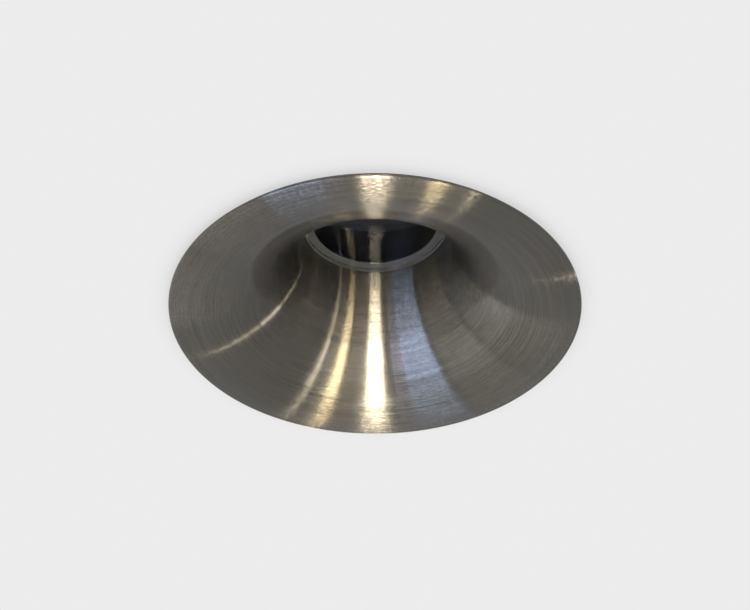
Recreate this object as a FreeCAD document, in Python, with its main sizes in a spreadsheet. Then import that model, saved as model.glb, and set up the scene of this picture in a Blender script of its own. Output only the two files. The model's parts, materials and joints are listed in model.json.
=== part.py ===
import FreeCAD, Part
import math
import os

import Sketcher
from FreeCAD import Placement, Rotation, Vector

# Recessed soffit downlight: a deep spun trumpet flare with a flush glass at its throat, an LED
# and reflector behind it, a finned body above, and three sprung clips that hold it in the soffit.
# The origin is the centre of the seat plane, where the gasket meets the underside of the soffit.
# +Z points up into the soffit, and the light shines down.

doc = FreeCAD.newDocument("soffit_downlight")
sheet = doc.addObject("Spreadsheet::Sheet", "sizes")

SIZES = {
    # the spun flare
    "rim_radius": 77.5,
    "neck_radius": 28.8,
    "flare_start": 10.0,
    "sheet_metal": 1.5,
    "edge_round": 0.6,
    "neck_bend": 2.0,
    "neck_flange": 7.7,
    # the glass and what seals it
    "glass_depth": 47.6,
    "glass_thick": 2.5,
    "bead_wide": 0.5,
    "neck_past_glass": 2.5,
    "neck_gasket_thick": 1.0,
    # the soffit seat
    "soffit_gasket_thick": 1.5,
    "gasket_margin": 1.5,
    "spigot_inset": 13.0,
    "spigot_wall": 1.8,
    "spigot_tall": 3.0,
    # the reflector
    "optic_radius": 24.8,
    "optic_back_radius": 8.8,
    "optic_long": 26.4,
    "optic_wall": 1.2,
    "optic_flange_thick": 1.0,
    "facets_round": 36,
    "facet_rows": 7,
    # the collar that clamps the flare and carries the clips
    "collar_radius": 45.0,
    "collar_clear": 0.6,
    "collar_tall": 14.0,
    "collar_wall_inside": 37.0,
    "flat_radius": 43.0,
    "flat_wide": 24.0,
    # the housing
    "housing_radius": 41.0,
    "housing_bore": 31.0,
    "housing_flange_radius": 46.0,
    "housing_flange_thick": 6.4,
    "housing_nose_bore": 26.4,
    "housing_tall": 26.6,
    "housing_seal_thick": 0.8,
    # the heat sink and its wiring chamber
    "sink_radius": 44.0,
    "sink_base_thick": 5.0,
    "fin_count": 24,
    "fin_thick": 1.8,
    "fin_tall": 27.0,
    "fin_taper": 9.0,
    "chamber_radius": 20.0,
    "chamber_wall": 5.5,
    "chamber_tall": 29.0,
    # the LED module
    "board_side": 24.0,
    "board_thick": 1.6,
    "pad_thick": 0.4,
    "phosphor_radius": 7.0,
    "phosphor_thick": 0.8,
    "holder_radius": 19.0,
    "holder_screw_radius": 16.2,
    "lead_radius": 0.9,
    "lead_bend": 4.0,
    "lead_side": 5.0,
    "lead_back": 14.5,
    "lead_in_holder": 3.0,
    # the terminal block
    "block_long": 20.0,
    "block_wide": 12.0,
    "block_tall": 10.0,
    "block_entry_high": 4.0,
    # the cover over the wiring chamber, and the cable gland
    "cover_radius": 27.0,
    "cover_thick": 3.0,
    "cover_seal_thick": 1.0,
    "gland_thread_radius": 8.0,
    "gland_hex_flats": 20.0,
    "gland_hex_tall": 5.0,
    "gland_body_tall": 11.0,
    "gland_thread_long": 10.0,
    "gland_nut_tall": 13.5,
    "gland_seal_bore": 3.5,
    "gland_seal_tall": 11.0,
    "locknut_tall": 4.0,
    "washer_thick": 1.0,
    # screws
    "body_screw_radius": 1.5,
    "small_screw_radius": 1.25,
    "screw_clear": 0.1,
    "collar_screw_circle": 41.0,
    "cover_screw_circle": 22.75,
    "bite_long": 10.0,
    "holder_bite_long": 3.5,
    "holder_head_tall": 1.4,
    "collar_screw_short": 2.0,
    "clip_head_tall": 1.3,
    "clip_bite_long": 4.5,
    # the clips
    "clip_count": 3,
    "pivot_radius": 49.0,
    "pivot_high": 38.0,
    "clip_tip_high": 7.0,
    "arm_long": 40.0,
    "arm_metal": 1.2,
    "arm_half_wide": 7.4,
    "tip_wall": 1.3,
    "bracket_metal": 1.2,
    "bracket_gap": 0.6,
    "pin_radius": 2.0,
    "pin_clear": 0.05,
    "spring_wire": 1.0,
    "spring_mean": 3.3,
    "spring_pitch": 1.5,
    "spring_turns": 4,
    "spring_short_leg": 7.0,
    "clip_screw_side": 5.8,
    "clip_screw_up": 7.0,
}

for row, (alias, value) in enumerate(SIZES.items(), start=1):
    sheet.set(f"A{row}", alias.replace("_", " "))
    sheet.set(f"B{row}", str(value))
    sheet.setAlias(f"B{row}", alias)
doc.recompute()


class Dim:
    """A size that knows its value now and the sheet expression that gives it."""

    def __init__(self, value, text):
        self.value = float(value)
        self.text = text

    def __add__(self, other):
        other = dim(other)
        return Dim(self.value + other.value, f"({self.text} + {other.text})")

    def __sub__(self, other):
        other = dim(other)
        return Dim(self.value - other.value, f"({self.text} - {other.text})")

    def __mul__(self, other):
        other = dim(other)
        return Dim(self.value * other.value, f"({self.text} * {other.text})")

    def __truediv__(self, other):
        other = dim(other)
        return Dim(self.value / other.value, f"({self.text} / {other.text})")

    def __neg__(self):
        return Dim(-self.value, f"(0 - {self.text})")

    __radd__ = __add__
    __rmul__ = __mul__


def dim(number):
    """A plain number as a Dim."""
    return number if isinstance(number, Dim) else Dim(number, repr(float(number)))


def root(number):
    return Dim(math.sqrt(number.value), f"sqrt({number.text})")


def size(alias):
    """A size from the sheet."""
    return Dim(sheet.get(alias), f"sizes.{alias}")


ZERO = dim(0)

# ---- heights and radii that follow from the sheet ----

sheet_metal = size("sheet_metal")
rim_radius = size("rim_radius")
neck_radius = size("neck_radius")
flare_arc = (rim_radius - size("flare_start")) * 2 / 3
rim_front = -(sheet_metal + size("soffit_gasket_thick"))
rim_back = rim_front + sheet_metal
arc_radius_place = neck_radius + flare_arc
arc_height = rim_front + flare_arc
glass_front = rim_front + size("glass_depth")
glass_back = glass_front + size("glass_thick")
neck_top = glass_back + size("neck_past_glass")
neck_flange_under = neck_top - sheet_metal
neck_flange_radius = neck_radius + size("neck_flange")
bead_inside = neck_radius - size("bead_wide")
housing_front = neck_top + size("neck_gasket_thick")
housing_back = housing_front + size("housing_tall")
sink_front = housing_back + size("housing_seal_thick")
sink_back = sink_front + size("sink_base_thick")
chamber_outside = size("chamber_radius") + size("chamber_wall")
chamber_top = sink_back + size("chamber_tall")
cover_under = chamber_top + size("cover_seal_thick")
cover_top = cover_under + size("cover_thick")
optic_front = glass_back
optic_back = optic_front + size("optic_long")
board_front = sink_front - size("pad_thick") - size("board_thick")
collar_bottom = neck_flange_under - size("collar_tall")
sink_screw_circle = (size("housing_bore") + size("housing_radius")) / 2
thread_radius = size("body_screw_radius")
screw_hole_radius = thread_radius + size("screw_clear")


def flare_back_height(radius):
    """The height of the flare's back face at a radius."""
    arm = flare_arc - sheet_metal
    across = arc_radius_place - radius
    return arc_height - root(arm * arm - across * across)


# ---- drawing helpers ----


def origin_feature(body, role):
    for feature in body.Origin.OriginFeatures:
        if feature.Role == role:
            return feature
    raise LookupError(role)


def new_body(label):
    body = doc.addObject("PartDesign::Body", label)
    body.Label = label
    return body


def new_sketch(body, name, role, height=ZERO, turn=0):
    """A sketch on one of the body's own planes, moved along the plane's normal and turned in it."""
    sketch = body.newObject("Sketcher::SketchObject", name)
    sketch.AttachmentSupport = [(origin_feature(body, role), "")]
    sketch.MapMode = "FlatFace"
    sketch.AttachmentOffset = Placement(Vector(0, 0, height.value), Rotation(Vector(0, 0, 1), turn))
    if height.value:
        sketch.setExpression("AttachmentOffset.Base.z", height.text)
    return sketch


def pin_point(sketch, edge, end, u, v):
    """Fixes one point of the sketch at (u, v), bound to the sheet."""
    for kind, line, length in (("X", -2, u), ("Y", -1, v)):
        if length.text == ZERO.text:
            sketch.addConstraint(Sketcher.Constraint("PointOnObject", edge, end, line))
            continue
        number = sketch.addConstraint(Sketcher.Constraint(f"Distance{kind}", -1, 1, edge, end, length.value))
        sketch.setExpression(f"Constraints[{number}]", length.text)


def arc_between(start, end, radius):
    """The arc from start to end: a positive radius turns left, a negative one right."""
    step = end - start
    middle = (start + end) * 0.5
    left = Vector(-step.y, step.x, 0).normalize()
    offset = math.sqrt(max(radius * radius - step.Length**2 / 4, 0))
    centre = middle + left * math.copysign(offset, radius)
    first, last = (start, end) if radius > 0 else (end, start)
    angles = [math.atan2(p.y - centre.y, p.x - centre.x) for p in (first, last)]
    if angles[1] < angles[0]:
        angles[1] += 2 * math.pi
    return Part.ArcOfCircle(Part.Circle(centre, Vector(0, 0, 1), abs(radius)), *angles)


def draw_outline(sketch, corners):
    """A closed outline. A corner is (u, v), or (u, v, radius) where an arc leaves it."""
    corners = [tuple(dim(n) for n in corner) for corner in corners]
    ends = []
    for here, there in zip(corners, corners[1:] + corners[:1]):
        start = Vector(here[0].value, here[1].value, 0)
        end = Vector(there[0].value, there[1].value, 0)
        if len(here) == 2:
            edge = sketch.addGeometry(Part.LineSegment(start, end))
            ends.append((edge, 1, 2))
            continue
        radius = here[2]
        edge = sketch.addGeometry(arc_between(start, end, radius.value))
        ends.append((edge, 1, 2) if radius.value > 0 else (edge, 2, 1))
        number = sketch.addConstraint(Sketcher.Constraint("Radius", edge, abs(radius.value)))
        sketch.setExpression(f"Constraints[{number}]", f"abs({radius.text})")
    for this, following in zip(ends, ends[1:] + ends[:1]):
        sketch.addConstraint(Sketcher.Constraint("Coincident", this[0], this[2], following[0], following[1]))
    for (edge, first, _), corner in zip(ends, corners):
        pin_point(sketch, edge, first, corner[0], corner[1])


def draw_circle(sketch, u, v, radius):
    u, v, radius = dim(u), dim(v), dim(radius)
    circle = Part.Circle(Vector(u.value, v.value, 0), Vector(0, 0, 1), radius.value)
    edge = sketch.addGeometry(circle)
    pin_point(sketch, edge, 3, u, v)
    number = sketch.addConstraint(Sketcher.Constraint("Radius", edge, radius.value))
    sketch.setExpression(f"Constraints[{number}]", radius.text)


def box_corners(u0, u1, v0, v1):
    return [(u0, v0), (u1, v0), (u1, v1), (u0, v1)]


def turned(label, corners):
    """A body from an outline of (radius, height) corners, revolved about its upright axis."""
    body = new_body(label)
    sketch = new_sketch(body, f"{body.Label}_section", "XZ_Plane")
    draw_outline(sketch, corners)
    feature = body.newObject("PartDesign::Revolution", f"{body.Label}_turned")
    feature.Profile = sketch
    feature.ReferenceAxis = (sketch, ["V_Axis"])
    feature.Angle = 360
    return body


def push(body, kind, sketch, length=None, both_ways=False, reverse=False):
    """A pad or pocket of a sketch: without a length a pocket goes right through."""
    feature = body.newObject(f"PartDesign::{kind}", f"{sketch.Label}_{kind.lower()}")
    feature.Profile = sketch
    feature.Midplane = both_ways
    feature.Reversed = reverse
    if length is None:
        feature.Type = "ThroughAll"
    else:
        feature.Type = "Length"
        feature.Length = length.value
        feature.setExpression("Length", length.text)
    return feature


def repeat_round(body, feature, count):
    """Repeats a feature about the body's upright axis."""
    pattern = body.newObject("PartDesign::PolarPattern", f"{feature.Label}_pattern")
    pattern.Originals = [feature]
    pattern.Axis = (origin_feature(body, "Z_Axis"), [""])
    pattern.Angle = 360
    pattern.Occurrences = int(count.value)
    pattern.setExpression("Occurrences", count.text)
    body.Tip = pattern
    return pattern


def drill_round(body, name, circle, radius, top, depth, count):
    """Holes on a circle, sunk downward from a height; the first lies on the plan's -Y axis."""
    sketch = new_sketch(body, f"{body.Label}_{name}", "XY_Plane", top)
    draw_circle(sketch, ZERO, -circle, radius)
    hole = push(body, "Pocket", sketch, depth)
    return repeat_round(body, hole, dim(count))


def ring(label, inside, outside, low, high):
    return turned(label, box_corners(inside, outside, low, high))


def group(label, shapes):
    """Separate identical solids that share one node."""
    feature = doc.addObject("Part::Feature", label)
    feature.Label = label
    feature.Shape = Part.makeCompound(shapes)
    return feature


def cap_screw(radius, head_radius, head_tall, long):
    """A socket screw whose head stands on z = 0 and whose shank goes down."""
    head = Part.makeCylinder(head_radius, head_tall)
    socket = hexagon(radius * 1.5, head_tall * 0.6)
    socket.translate(Vector(0, 0, head_tall * 0.4))
    shank = Part.makeCylinder(radius, long, Vector(0, 0, -long))
    return head.cut(socket).fuse(shank).removeSplitter()


def hexagon(flats, tall):
    """A hexagonal bar, by its width across flats."""
    corner = flats / math.sqrt(3)
    points = [Vector(corner, 0, 0)]
    for step in range(1, 7):
        points.append(Rotation(Vector(0, 0, 1), 60 * step).multVec(points[0]))
    return Part.Face(Part.makePolygon(points)).extrude(Vector(0, 0, tall))


def placed(shape, radius, angle, height, flip=False):
    """A copy of a shape at a polar place, turned upside down if asked."""
    copy = shape.copy()
    tilt = Rotation(Vector(1, 0, 0), 180 if flip else 0)
    spin = Rotation(Vector(0, 0, 1), angle)
    copy.Placement = Placement(spin.multVec(Vector(radius, 0, height)), spin.multiply(tilt))
    return copy


# ---- the flare and the soffit gasket ----


def make_flare():
    edge = size("edge_round")
    bend = size("neck_bend")
    return turned(
        "flare_bezel",
        [
            (rim_radius - edge, rim_front),
            (arc_radius_place, rim_front, -flare_arc),
            (neck_radius, arc_height),
            (neck_radius, neck_top - bend, -bend),
            (neck_radius + bend, neck_top),
            (neck_flange_radius, neck_top),
            (neck_flange_radius, neck_flange_under),
            (neck_radius + bend, neck_flange_under, bend - sheet_metal),
            (neck_radius + sheet_metal, neck_top - bend),
            (neck_radius + sheet_metal, arc_height, flare_arc - sheet_metal),
            (arc_radius_place, rim_back),
            (rim_radius - edge, rim_back, -edge),
            (rim_radius, rim_back - edge),
            (rim_radius, rim_front + edge, -edge),
        ],
    )


def make_soffit_gasket():
    spigot = rim_radius - size("spigot_inset")
    inside = spigot - size("spigot_wall")
    outside = rim_radius - size("gasket_margin")
    return turned(
        "soffit_gasket",
        [
            (inside, flare_back_height(inside), flare_arc - sheet_metal),
            (arc_radius_place, rim_back),
            (outside, rim_back),
            (outside, ZERO),
            (spigot, ZERO),
            (spigot, size("spigot_tall")),
            (inside, size("spigot_tall")),
        ],
    )


# ---- the glass, its bead and the reflector ----


def make_glass_and_seals():
    bevel = dim(0.4)
    turned(
        "lens_glass",
        [
            (ZERO, glass_front),
            (bead_inside - bevel, glass_front),
            (bead_inside, glass_front + bevel),
            (bead_inside, glass_back),
            (ZERO, glass_back),
        ],
    )
    ring("lens_seal", bead_inside, neck_radius, glass_front + bevel, glass_back)
    ring("neck_gasket", neck_radius + size("neck_bend"), neck_flange_radius, neck_top, housing_front)


def optic_radius_at(share):
    """The reflector's inner radius, at a share of its length from the front: a parabola."""
    front = size("optic_radius").value
    back = size("optic_back_radius").value
    return back + (front - back) * math.sqrt(1 - share)


def make_reflector():
    """Flat-sided facets in rows inside a smooth parabolic shell with a flat front flange."""
    wall = size("optic_wall").value
    long = size("optic_long").value
    front = optic_front.value
    rows = int(size("facet_rows").value)
    sides = int(size("facets_round").value)
    flange_radius = bead_inside.value - 0.2
    flange_thick = size("optic_flange_thick").value

    def polygon(share):
        # rows get shorter towards the back, where the curve is tighter
        points = []
        for step in range(sides + 1):
            spin = Rotation(Vector(0, 0, 1), 360 * step / sides)
            points.append(spin.multVec(Vector(optic_radius_at(share), 0, front + long * share)))
        return Part.makePolygon(points)

    shares = [1 - (1 - row / rows) ** 2 for row in range(rows + 1)]
    core = Part.makeLoft([polygon(share) for share in shares], True, True)
    outline = [Vector(optic_radius_at(share) + wall, 0, front + long * share) for share in shares]
    curve = Part.BSplineCurve()
    curve.interpolate(outline)
    corners = [outline[-1], Vector(0, 0, front + long), Vector(0, 0, front), outline[0]]
    section = Part.Wire([curve.toShape(), *Part.makePolygon(corners).Edges])
    shell = Part.Face(section).revolve(Vector(), Vector(0, 0, 1), 360)
    flange = Part.makeCylinder(flange_radius, flange_thick, Vector(0, 0, front))
    feature = doc.addObject("Part::Feature", "reflector")
    feature.Label = "reflector"
    feature.Shape = shell.fuse(flange).cut(core)
    return feature


# ---- the collar, the housing and the heat sink ----


def make_collar():
    flare_outside = neck_radius + sheet_metal
    inside = flare_outside + size("collar_clear")
    wall_inside = size("collar_wall_inside")
    outside = size("collar_radius")
    bottom_clear = dim(0.5)
    body = turned(
        "mounting_collar",
        [
            (inside + bottom_clear, collar_bottom),
            (outside, collar_bottom),
            (outside, housing_front - dim(0.2)),
            (wall_inside, housing_front - dim(0.2)),
            (wall_inside, neck_flange_under),
            (inside, neck_flange_under),
        ],
    )
    beyond = outside + dim(5)
    half = size("flat_wide") / 2
    sketch = new_sketch(body, "collar_flat", "XY_Plane", housing_front + dim(1))
    draw_outline(sketch, box_corners(-half, half, size("flat_radius"), beyond))
    flat = push(body, "Pocket", sketch)
    repeat_round(body, flat, size("clip_count"))
    circle = size("collar_screw_circle")
    drill_round(body, "holes", circle, screw_hole_radius, housing_front + dim(1), None, 3)
    sketch = new_sketch(body, "collar_head_pocket", "XY_Plane", collar_bottom)
    draw_circle(sketch, ZERO, -circle, thread_radius * 2)
    sunk = push(body, "Pocket", sketch, thread_radius * 4, reverse=True)
    repeat_round(body, sunk, dim(3))
    clip_holes(body)
    return body


def clip_holes(body):
    """Tapped holes in each flat, where the clip brackets are screwed on."""
    sketch = new_sketch(body, "collar_clip_holes", "XZ_Plane", -size("collar_radius"))
    high = size("pivot_high") + size("clip_screw_up")
    bore = size("small_screw_radius") + size("screw_clear") / 2
    for side in (-1, 1):
        draw_circle(sketch, size("clip_screw_side") * side, high, bore)
    deep = size("collar_radius") - size("flat_radius") + dim(5.2)
    holes = push(body, "Pocket", sketch, deep, reverse=True)
    repeat_round(body, holes, size("clip_count"))


def make_housing():
    flange_top = housing_front + size("housing_flange_thick")
    nose = bead_inside - dim(0.3)
    nose_bottom = optic_front + size("optic_flange_thick")
    draft = dim(1)
    body = turned(
        "lamp_housing",
        [
            (size("housing_nose_bore"), nose_bottom),
            (nose, nose_bottom),
            (nose, housing_front),
            (size("housing_flange_radius"), housing_front),
            (size("housing_flange_radius"), flange_top - draft),
            (size("housing_flange_radius") - draft, flange_top),
            (size("housing_radius") + draft, flange_top, -draft),
            (size("housing_radius"), flange_top + draft),
            (size("housing_radius"), housing_back),
            (size("housing_bore"), housing_back),
            (size("housing_bore"), housing_front + dim(4)),
            (size("housing_nose_bore"), housing_front + dim(3)),
        ],
    )
    sketch = new_sketch(body, "housing_front_holes", "XY_Plane", housing_front)
    draw_circle(sketch, ZERO, -size("collar_screw_circle"), screw_hole_radius)
    hole = push(body, "Pocket", sketch, size("housing_flange_thick") - dim(1), reverse=True)
    repeat_round(body, hole, dim(3))
    circle = sink_screw_circle
    drill_round(body, "back_holes", circle, screw_hole_radius, housing_back, dim(11), 3)
    return body


def make_housing_seal():
    body = ring("housing_seal", size("housing_bore"), size("housing_radius"), housing_back, sink_front)
    drill_round(body, "holes", sink_screw_circle, screw_hole_radius, sink_front, None, 3)
    return body


def make_heat_sink():
    outside = size("sink_radius")
    body = turned(
        "heat_sink",
        [
            (ZERO, sink_front),
            (outside - dim(1), sink_front),
            (outside, sink_front + dim(1)),
            (outside, sink_back),
            (chamber_outside, sink_back),
            (chamber_outside, chamber_top),
            (size("chamber_radius"), chamber_top),
            (size("chamber_radius"), sink_back),
            (ZERO, sink_back),
        ],
    )
    sketch = new_sketch(body, "fin_plan", "XY_Plane", sink_back, 180 / size("fin_count").value)
    half = size("fin_thick") / 2
    draw_outline(sketch, box_corners(chamber_outside - dim(0.5), outside - dim(0.3), -half, half))
    fin = push(body, "Pad", sketch, size("fin_tall"))
    repeat_round(body, fin, size("fin_count"))
    taper = size("fin_taper")
    top = sink_back + size("fin_tall")
    sketch = new_sketch(body, "fin_taper", "XZ_Plane")
    beyond = dim(1)
    draw_outline(
        sketch,
        [
            (outside - taper, top + beyond),
            (outside - taper, top),
            (outside, top - taper * 2),
            (outside + beyond, top - taper * 2),
            (outside + beyond, top + beyond),
        ],
    )
    groove = body.newObject("PartDesign::Groove", "fin_taper_cut")
    groove.Profile = sketch
    groove.ReferenceAxis = (sketch, ["V_Axis"])
    groove.Angle = 360
    drill_round(body, "holes", sink_screw_circle, screw_hole_radius, sink_back, None, 3)
    drill_round(body, "cover_holes", size("cover_screw_circle"), screw_hole_radius, chamber_top, dim(9), 3)
    sketch = new_sketch(body, "lead_holes", "XY_Plane", sink_back)
    for side in (-1, 1):
        draw_circle(sketch, size("lead_side") * side, size("lead_back"), size("lead_radius") + dim(0.5))
    push(body, "Pocket", sketch)
    sketch = new_sketch(body, "holder_screw_holes", "XY_Plane", sink_front)
    for side in (-1, 1):
        hole = size("small_screw_radius") + size("screw_clear") / 2
        draw_circle(sketch, size("holder_screw_radius") * side, ZERO, hole)
    push(body, "Pocket", sketch, dim(4), reverse=True)
    return body


# ---- the LED module ----


def make_led():
    half = size("board_side") / 2
    body = new_body("thermal_pad")
    sketch = new_sketch(body, "pad_plan", "XY_Plane", sink_front - size("pad_thick"))
    draw_outline(sketch, box_corners(-half, half, -half, half))
    push(body, "Pad", sketch, size("pad_thick"))
    body = new_body("led_board")
    sketch = new_sketch(body, "board_plan", "XY_Plane", board_front)
    draw_outline(sketch, box_corners(-half, half, -half, half))
    push(body, "Pad", sketch, size("board_thick"))
    front = board_front - size("phosphor_thick")
    ring_round = dim(0.3)
    turned(
        "led_phosphor",
        [
            (ZERO, front),
            (size("phosphor_radius") - ring_round, front),
            (size("phosphor_radius"), front + ring_round),
            (size("phosphor_radius"), board_front),
            (ZERO, board_front),
        ],
    )


def make_holder():
    front = optic_back
    mouth = size("optic_back_radius")
    body = turned(
        "led_holder",
        [
            (mouth, front),
            (size("holder_radius") - dim(1), front),
            (size("holder_radius"), front + dim(1)),
            (size("holder_radius"), sink_front),
            (mouth, sink_front),
        ],
    )
    half = size("board_side") / 2 + dim(0.2)
    sketch = new_sketch(body, "holder_pocket", "XY_Plane", sink_front)
    draw_outline(sketch, box_corners(-half, half, -half, half))
    push(body, "Pocket", sketch, sink_front - board_front)
    sketch = new_sketch(body, "holder_leads", "XY_Plane", sink_front)
    for side in (-1, 1):
        draw_circle(sketch, size("lead_side") * side, size("lead_back"), size("lead_radius") + dim(0.1))
    push(body, "Pocket", sketch, size("lead_in_holder"))
    sketch = new_sketch(body, "holder_screws", "XY_Plane", sink_front)
    for side in (-1, 1):
        hole = size("small_screw_radius") + size("screw_clear")
        draw_circle(sketch, size("holder_screw_radius") * side, ZERO, hole)
    push(body, "Pocket", sketch)
    return body


def make_terminal_block():
    long = size("block_long") / 2
    wide = size("block_wide") / 2
    tall = size("block_tall")
    top = sink_back + tall
    chamfer = dim(1)
    body = new_body("terminal_block")
    sketch = new_sketch(body, "block_side", "YZ_Plane")
    draw_outline(
        sketch,
        [
            (-wide, sink_back),
            (wide, sink_back),
            (wide, top - chamfer),
            (wide - chamfer, top),
            (-wide + chamfer, top),
            (-wide, top - chamfer),
        ],
    )
    push(body, "Pad", sketch, long * 2, both_ways=True)
    sketch = new_sketch(body, "block_screw_wells", "XY_Plane", top)
    for side in (-1, 1):
        for row in (-1, 1):
            draw_circle(sketch, size("lead_side") * side, dim(3 * row), dim(1.8))
    push(body, "Pocket", sketch, dim(3))
    sketch = new_sketch(body, "block_entries", "XZ_Plane")
    entry_height = sink_back + size("block_entry_high")
    entry_radius = size("lead_radius") + dim(0.3)
    for side in (-1, 1):
        draw_circle(sketch, size("lead_side") * side, entry_height, entry_radius)
    push(body, "Pocket", sketch, both_ways=True)
    screws = []
    for side in (-1, 1):
        for row in (-1, 1):
            place = Vector(size("lead_side").value * side, 3.0 * row, top.value - 3)
            screw = Part.makeCylinder(1.6, 2.0, place)
            slot = Part.makeBox(4, 0.5, 0.6, place + Vector(-2, -0.25, 1.4))
            screws.append(screw.cut(slot))
    group("terminal_screws", screws)


def make_leads():
    """Each lead rises from the holder through the base and bends into the terminal block."""
    radius = size("lead_radius").value
    bend = size("lead_bend").value
    start = (sink_front - size("lead_in_holder")).value
    turn_height = (sink_back + size("block_entry_high")).value
    back = size("lead_back").value
    for name, side in (("led_lead_positive", 1), ("led_lead_negative", -1)):
        across = size("lead_side").value * side
        low = Vector(across, back, start)
        corner_in = Vector(across, back, turn_height - bend)
        corner_out = Vector(across, back - bend, turn_height)
        middle = Vector(across, back - bend * (1 - math.sqrt(0.5)), turn_height - bend * (1 - math.sqrt(0.5)))
        end = Vector(across, size("block_wide").value / 2 - 3, turn_height)
        path = Part.Wire(
            [
                Part.LineSegment(low, corner_in).toShape(),
                Part.Arc(corner_in, middle, corner_out).toShape(),
                Part.LineSegment(corner_out, end).toShape(),
            ]
        )
        section = Part.Wire(Part.Circle(low, Vector(0, 0, 1), radius).toShape())
        feature = doc.addObject("Part::Feature", name)
        feature.Label = name
        feature.Shape = path.makePipeShell([section], True, False)


# ---- the cover and the cable gland ----


def make_cover():
    inside = size("gland_thread_radius") + size("screw_clear")
    outside = size("cover_radius")
    rounding = dim(1)
    body = turned(
        "rear_cover",
        [
            (inside, cover_under),
            (outside, cover_under),
            (outside, cover_top - rounding, rounding),
            (outside - rounding, cover_top),
            (inside, cover_top),
        ],
    )
    circle = size("cover_screw_circle")
    drill_round(body, "holes", circle, screw_hole_radius, cover_top, None, 3)
    seal = ring("rear_cover_seal", size("chamber_radius"), chamber_outside, chamber_top, cover_under)
    drill_round(seal, "holes", circle, screw_hole_radius, cover_under, None, 3)
    return body


def hex_ring(label, flats, bore, low, high):
    """A hexagonal nut whose corners are rounded off by a cone above."""
    body = new_body(label)
    corner = flats / math.sqrt(3)
    half = flats / 2
    sketch = new_sketch(body, f"{label}_plan", "XY_Plane", low)
    side = corner / 2
    corners = [(corner, ZERO), (side, half), (-side, half), (-corner, ZERO), (-side, -half), (side, -half)]
    draw_outline(sketch, corners)
    draw_circle(sketch, ZERO, ZERO, bore)
    push(body, "Pad", sketch, high - low)
    sketch = new_sketch(body, f"{label}_corner_cone", "XZ_Plane")
    lost = corner - half
    beyond = corner + dim(1)
    draw_outline(sketch, [(half, high), (beyond, high), (beyond, high - lost), (corner, high - lost / 2)])
    cone = body.newObject("PartDesign::Groove", f"{label}_cone")
    cone.Profile = sketch
    cone.ReferenceAxis = (sketch, ["V_Axis"])
    cone.Angle = 360
    return body


def make_gland():
    thread = size("gland_thread_radius")
    flats = size("gland_hex_flats")
    hex_low = cover_top + size("washer_thick")
    hex_top = hex_low + size("gland_hex_tall")
    body_top = hex_low + size("gland_body_tall")
    thread_low = cover_top - size("gland_thread_long")
    seal_radius = thread - dim(1.5)
    bore = size("gland_seal_bore") + dim(1.7)
    ring("gland_washer", thread + size("screw_clear"), flats / 2, cover_top, hex_low)
    locknut_low = cover_under - size("locknut_tall")
    hex_ring("gland_locknut", flats, thread + size("screw_clear"), locknut_low, cover_under)
    body = hex_ring("gland_body", flats, bore, hex_low, hex_top)
    sketch = new_sketch(body, "gland_thread_section", "XZ_Plane")
    seal_low = body_top - dim(8)
    draw_outline(
        sketch,
        [
            (bore, thread_low),
            (thread, thread_low),
            (thread, body_top),
            (seal_radius + dim(0.1), body_top),
            (seal_radius + dim(0.1), seal_low),
            (bore, seal_low),
        ],
    )
    stem = body.newObject("PartDesign::Revolution", "gland_stem")
    stem.Profile = sketch
    stem.ReferenceAxis = (sketch, ["V_Axis"])
    stem.Angle = 360
    sketch = new_sketch(body, "gland_seal_seat", "XY_Plane", hex_top + dim(0.01))
    draw_circle(sketch, ZERO, ZERO, seal_radius + dim(0.1))
    push(body, "Pocket", sketch, hex_top + dim(0.01) - seal_low)
    seal_top = seal_low + size("gland_seal_tall")
    turned(
        "gland_seal",
        [
            (size("gland_seal_bore"), seal_low),
            (seal_radius, seal_low),
            (seal_radius, seal_top - dim(2)),
            (seal_radius - dim(1.5), seal_top),
            (size("gland_seal_bore"), seal_top),
        ],
    )
    nut_low = hex_top + dim(0.5)
    nut_top = nut_low + size("gland_nut_tall")
    outside = flats / 2
    inside = thread + size("screw_clear")
    turned(
        "gland_nut",
        [
            (inside, nut_low),
            (outside, nut_low),
            (outside, nut_top - dim(6), dim(6)),
            (outside - dim(4), nut_top - dim(0.6)),
            (outside - dim(4.4), nut_top),
            (size("gland_seal_bore") + dim(1), nut_top),
            (size("gland_seal_bore") + dim(1), seal_top + dim(0.3)),
            (seal_radius - dim(1), seal_top + dim(0.3)),
            (seal_radius + dim(0.4), seal_top - dim(1.6)),
            (inside, body_top + dim(0.3)),
        ],
    )


# ---- screws ----


def make_screws():
    shank = thread_radius.value
    head_tall = shank * 2
    bite = size("bite_long").value
    collar_head = collar_bottom.value + 4 * shank
    flange_top = (housing_front + size("housing_flange_thick")).value
    grip = flange_top - size("collar_screw_short").value - collar_head
    collar_screw = cap_screw(shank, shank * 1.83, head_tall, grip)
    sink_screw = cap_screw(shank, shank * 1.83, head_tall * 0.8, size("sink_base_thick").value + bite)
    cover_screw = cap_screw(shank, shank * 1.83, head_tall * 0.8, bite)
    small = size("small_screw_radius").value
    holder_long = (sink_front - optic_back).value + size("holder_bite_long").value
    holder_screw = cap_screw(small, small * 1.7, size("holder_head_tall").value, holder_long)
    angles = (30, 150, 270)
    circle = size("collar_screw_circle").value
    group("collar_screws", [placed(collar_screw, circle, angle, collar_head, True) for angle in angles])
    circle = sink_screw_circle.value
    group("heat_sink_screws", [placed(sink_screw, circle, angle, sink_back.value) for angle in angles])
    circle = size("cover_screw_circle").value
    group("rear_cover_screws", [placed(cover_screw, circle, angle, cover_top.value) for angle in angles])
    circle = size("holder_screw_radius").value
    low = optic_back.value
    group("led_holder_screws", [placed(holder_screw, circle, angle, low, True) for angle in (0, 180)])


# ---- the clips: each is drawn about its own pivot, with x outward, y along the pin and z up ----


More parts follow.
